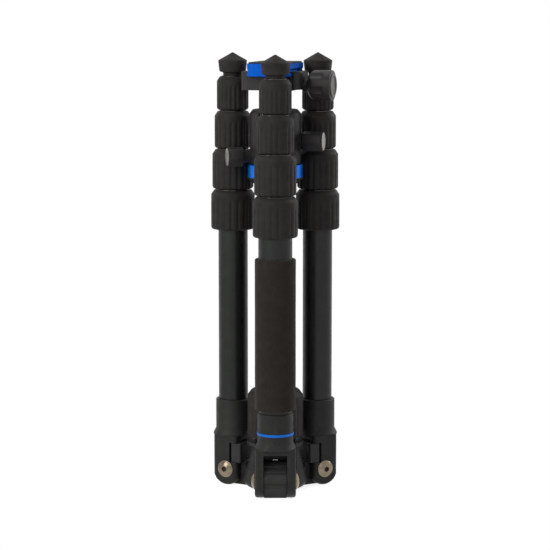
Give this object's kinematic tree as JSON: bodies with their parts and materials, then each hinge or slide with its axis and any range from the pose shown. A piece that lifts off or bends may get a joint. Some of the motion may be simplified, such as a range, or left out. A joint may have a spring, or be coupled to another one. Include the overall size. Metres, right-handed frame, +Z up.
{
  "type": "travel tripod",
  "caption": "Compact telescopic tripod folded for carrying, its legs turned up round a ball head with quick-release clamp and plate; twist locks on each leg.",
  "frame": {"origin": "on the column's axis, level with the lowest points of the three folded legs", "axes": "+Z up along the column to the camera plate; -Y towards the leg with the foam grip"},
  "size_m": [0.109, 0.0998, 0.3687],
  "materials": {
    "cast_black": "semi-matt black casting",
    "tube_black": "black anodised, satin gloss",
    "rubber": "ribbed grip rubber",
    "foam": "closed-cell foam, matt",
    "blue": "bright blue anodised",
    "chrome": "warm bright plating",
    "steel": "turned steel",
    "tab_grey": "satin dark grey",
    "head_black": "black anodised, satin",
    "cap_metal": "turned and polished",
    "seat": "hard white plastic"
  },
  "bodies": {
    "hub": {"spider": "cast_black", "hinge_bolts": "chrome"},
    "front_leg": {"front_yoke": "cast_black", "front_tube_1": "tube_black", "front_trim_ring": "blue", "front_grip": "foam"},
    "front_latch": {"front_latch_tab": "tab_grey"},
    "front_twist_1": {"front_lock_1": "rubber"},
    "front_section_2": {"front_tube_2": "tube_black"},
    "front_twist_2": {"front_lock_2": "rubber"},
    "front_section_3": {"front_tube_3": "tube_black"},
    "front_twist_3": {"front_lock_3": "rubber"},
    "front_section_4": {"front_tube_4": "tube_black"},
    "front_twist_4": {"front_lock_4": "rubber"},
    "front_section_5": {"front_tube_5": "tube_black", "front_foot": "rubber"},
    "right_leg": {"right_yoke": "cast_black", "right_tube_1": "tube_black"},
    "right_latch": {"right_latch_tab": "tab_grey"},
    "right_twist_1": {"right_lock_1": "rubber"},
    "right_section_2": {"right_tube_2": "tube_black"},
    "right_twist_2": {"right_lock_2": "rubber"},
    "right_section_3": {"right_tube_3": "tube_black"},
    "right_twist_3": {"right_lock_3": "rubber"},
    "right_section_4": {"right_tube_4": "tube_black"},
    "right_twist_4": {"right_lock_4": "rubber"},
    "right_section_5": {"right_tube_5": "tube_black", "right_foot": "rubber"},
    "left_leg": {"left_yoke": "cast_black", "left_tube_1": "tube_black"},
    "left_latch": {"left_latch_tab": "tab_grey"},
    "left_twist_1": {"left_lock_1": "rubber"},
    "left_section_2": {"left_tube_2": "tube_black"},
    "left_twist_2": {"left_lock_2": "rubber"},
    "left_section_3": {"left_tube_3": "tube_black"},
    "left_twist_3": {"left_lock_3": "rubber"},
    "left_section_4": {"left_tube_4": "tube_black"},
    "left_twist_4": {"left_lock_4": "rubber"},
    "left_section_5": {"left_tube_5": "tube_black", "left_foot": "rubber"},
    "column": {"column_tube": "tube_black", "column_cap": "rubber", "head_base": "head_black", "pan_ring": "blue"},
    "collar": {"column_lock": "rubber"},
    "head": {"ball_housing": "head_black", "ball_seat": "seat"},
    "pan_lock": {"pan_knob": "head_black", "pan_knob_cap": "cap_metal"},
    "ball_lock": {"ball_knob": "head_black", "ball_knob_cap": "cap_metal"},
    "ball_and_clamp": {"ball": "steel", "clamp_body": "head_black"},
    "jaw": {"clamp_jaw": "head_black"},
    "clamp_screw": {"clamp_knob": "head_black", "clamp_knob_cap": "cap_metal"},
    "plate": {"quick_plate": "blue", "plate_pad": "rubber"},
    "screw": {"camera_screw": "steel"}
  },
  "joints": [
    {"name": "front_leg_fold", "type": "hinge", "parent": "hub", "child": "front_leg", "pos_m": [0, -0.0393, 0.014], "axis": [1, 0, 0], "range_deg": [0, 180]},
    {"name": "front_latch_pull", "type": "slide", "parent": "front_leg", "child": "front_latch", "axis": [0, 1, 0], "range_m": [0, 0.004], "stiffness_N_per_m": 600, "springref_m": -0.002},
    {"name": "front_lock_1_turn", "type": "hinge", "parent": "front_leg", "child": "front_twist_1", "pos_m": [0, -0.0415, 0.2], "axis": [0, 0, 1], "range_deg": [0, 180]},
    {"name": "front_section_2_slide", "type": "slide", "parent": "front_leg", "child": "front_section_2", "axis": [0, 0, 1], "range_m": [0, 0.03]},
    {"name": "front_lock_2_turn", "type": "hinge", "parent": "front_section_2", "child": "front_twist_2", "pos_m": [0, -0.0415, 0.2], "axis": [0, 0, 1], "range_deg": [0, 180]},
    {"name": "front_section_3_slide", "type": "slide", "parent": "front_section_2", "child": "front_section_3", "axis": [0, 0, 1], "range_m": [0, 0.03]},
    {"name": "front_lock_3_turn", "type": "hinge", "parent": "front_section_3", "child": "front_twist_3", "pos_m": [0, -0.0415, 0.2], "axis": [0, 0, 1], "range_deg": [0, 180]},
    {"name": "front_section_4_slide", "type": "slide", "parent": "front_section_3", "child": "front_section_4", "axis": [0, 0, 1], "range_m": [0, 0.217]},
    {"name": "front_lock_4_turn", "type": "hinge", "parent": "front_section_4", "child": "front_twist_4", "pos_m": [0, -0.0415, 0.2], "axis": [0, 0, 1], "range_deg": [0, 180]},
    {"name": "front_section_5_slide", "type": "slide", "parent": "front_section_4", "child": "front_section_5", "axis": [0, 0, 1], "range_m": [0, 0.243]},
    {"name": "right_leg_fold", "type": "hinge", "parent": "hub", "child": "right_leg", "pos_m": [0.03403, 0.01965, 0.014], "axis": [-0.5, 0.866, 0], "range_deg": [0, 180]},
    {"name": "right_latch_pull", "type": "slide", "parent": "right_leg", "child": "right_latch", "axis": [-0.866, -0.5, 0], "range_m": [0, 0.004], "stiffness_N_per_m": 600, "springref_m": -0.002},
    {"name": "right_lock_1_turn", "type": "hinge", "parent": "right_leg", "child": "right_twist_1", "pos_m": [0.03594, 0.02075, 0.2], "axis": [0, 0, 1], "range_deg": [0, 180]},
    {"name": "right_section_2_slide", "type": "slide", "parent": "right_leg", "child": "right_section_2", "axis": [0, 0, 1], "range_m": [0, 0.03]},
    {"name": "right_lock_2_turn", "type": "hinge", "parent": "right_section_2", "child": "right_twist_2", "pos_m": [0.03594, 0.02075, 0.2], "axis": [0, 0, 1], "range_deg": [0, 180]},
    {"name": "right_section_3_slide", "type": "slide", "parent": "right_section_2", "child": "right_section_3", "axis": [0, 0, 1], "range_m": [0, 0.03]},
    {"name": "right_lock_3_turn", "type": "hinge", "parent": "right_section_3", "child": "right_twist_3", "pos_m": [0.03594, 0.02075, 0.2], "axis": [0, 0, 1], "range_deg": [0, 180]},
    {"name": "right_section_4_slide", "type": "slide", "parent": "right_section_3", "child": "right_section_4", "axis": [0, 0, 1], "range_m": [0, 0.217]},
    {"name": "right_lock_4_turn", "type": "hinge", "parent": "right_section_4", "child": "right_twist_4", "pos_m": [0.03594, 0.02075, 0.2], "axis": [0, 0, 1], "range_deg": [0, 180]},
    {"name": "right_section_5_slide", "type": "slide", "parent": "right_section_4", "child": "right_section_5", "axis": [0, 0, 1], "range_m": [0, 0.243]},
    {"name": "left_leg_fold", "type": "hinge", "parent": "hub", "child": "left_leg", "pos_m": [-0.03403, 0.01965, 0.014], "axis": [-0.5, -0.866, 0], "range_deg": [0, 180]},
    {"name": "left_latch_pull", "type": "slide", "parent": "left_leg", "child": "left_latch", "axis": [0.866, -0.5, 0], "range_m": [0, 0.004], "stiffness_N_per_m": 600, "springref_m": -0.002},
    {"name": "left_lock_1_turn", "type": "hinge", "parent": "left_leg", "child": "left_twist_1", "pos_m": [-0.03594, 0.02075, 0.2], "axis": [0, 0, 1], "range_deg": [0, 180]},
    {"name": "left_section_2_slide", "type": "slide", "parent": "left_leg", "child": "left_section_2", "axis": [0, 0, 1], "range_m": [0, 0.018]},
    {"name": "left_lock_2_turn", "type": "hinge", "parent": "left_section_2", "child": "left_twist_2", "pos_m": [-0.03594, 0.02075, 0.2], "axis": [0, 0, 1], "range_deg": [0, 180]},
    {"name": "left_section_3_slide", "type": "slide", "parent": "left_section_2", "child": "left_section_3", "axis": [0, 0, 1], "range_m": [0, 0.018]},
    {"name": "left_lock_3_turn", "type": "hinge", "parent": "left_section_3", "child": "left_twist_3", "pos_m": [-0.03594, 0.02075, 0.2], "axis": [0, 0, 1], "range_deg": [0, 180]},
    {"name": "left_section_4_slide", "type": "slide", "parent": "left_section_3", "child": "left_section_4", "axis": [0, 0, 1], "range_m": [0, 0.217]},
    {"name": "left_lock_4_turn", "type": "hinge", "parent": "left_section_4", "child": "left_twist_4", "pos_m": [-0.03594, 0.02075, 0.2], "axis": [0, 0, 1], "range_deg": [0, 180]},
    {"name": "left_section_5_slide", "type": "slide", "parent": "left_section_4", "child": "left_section_5", "axis": [0, 0, 1], "range_m": [0, 0.243]},
    {"name": "column_slide", "type": "slide", "parent": "hub", "child": "column", "axis": [0, 0, -1], "range_m": [0, 0.004]},
    {"name": "column_lock_turn", "type": "hinge", "parent": "hub", "child": "collar", "pos_m": [0, 0, 0.06], "axis": [0, 0, 1], "range_deg": [0, 180]},
    {"name": "head_pan", "type": "hinge", "parent": "column", "child": "head", "pos_m": [0, 0, 0.27], "axis": [0, 0, 1], "range_deg": [-3, 5]},
    {"name": "pan_knob_turn", "type": "hinge", "parent": "head", "child": "pan_lock", "pos_m": [-0.03403, -0.00817, 0.2828], "axis": [-0.9724, -0.2334, 0], "range_deg": [0, 360]},
    {"name": "ball_knob_turn", "type": "hinge", "parent": "head", "child": "ball_lock", "pos_m": [0.03209, -0.0077, 0.2956], "axis": [0.9724, -0.2334, 0], "range_deg": [0, 360]},
    {"name": "ball_tilt", "type": "hinge", "parent": "head", "child": "ball_and_clamp", "pos_m": [0, 0, 0.307], "axis": [0.9588, -0.284, 0], "range_deg": [0, 2.2]},
    {"name": "jaw_slide", "type": "slide", "parent": "ball_and_clamp", "child": "jaw", "axis": [0.9588, -0.284, 0], "range_m": [0, 0.003]},
    {"name": "clamp_knob_turn", "type": "hinge", "parent": "jaw", "child": "clamp_screw", "pos_m": [0.03835, -0.01136, 0.3423], "axis": [0.9588, -0.284, 0], "range_deg": [0, 1080]},
    {"name": "plate_slide", "type": "slide", "parent": "ball_and_clamp", "child": "plate", "axis": [-0.284, -0.9588, 0], "range_m": [0, 0.002]},
    {"name": "camera_screw_turn", "type": "hinge", "parent": "plate", "child": "screw", "pos_m": [0, 0, 0.358], "axis": [0, 0, 1], "continuous": true}
  ],
  "couplings": [
    {"joint": "clamp_knob_turn", "follows": "jaw_slide", "rad_per_m": 6283.2}
  ]
}
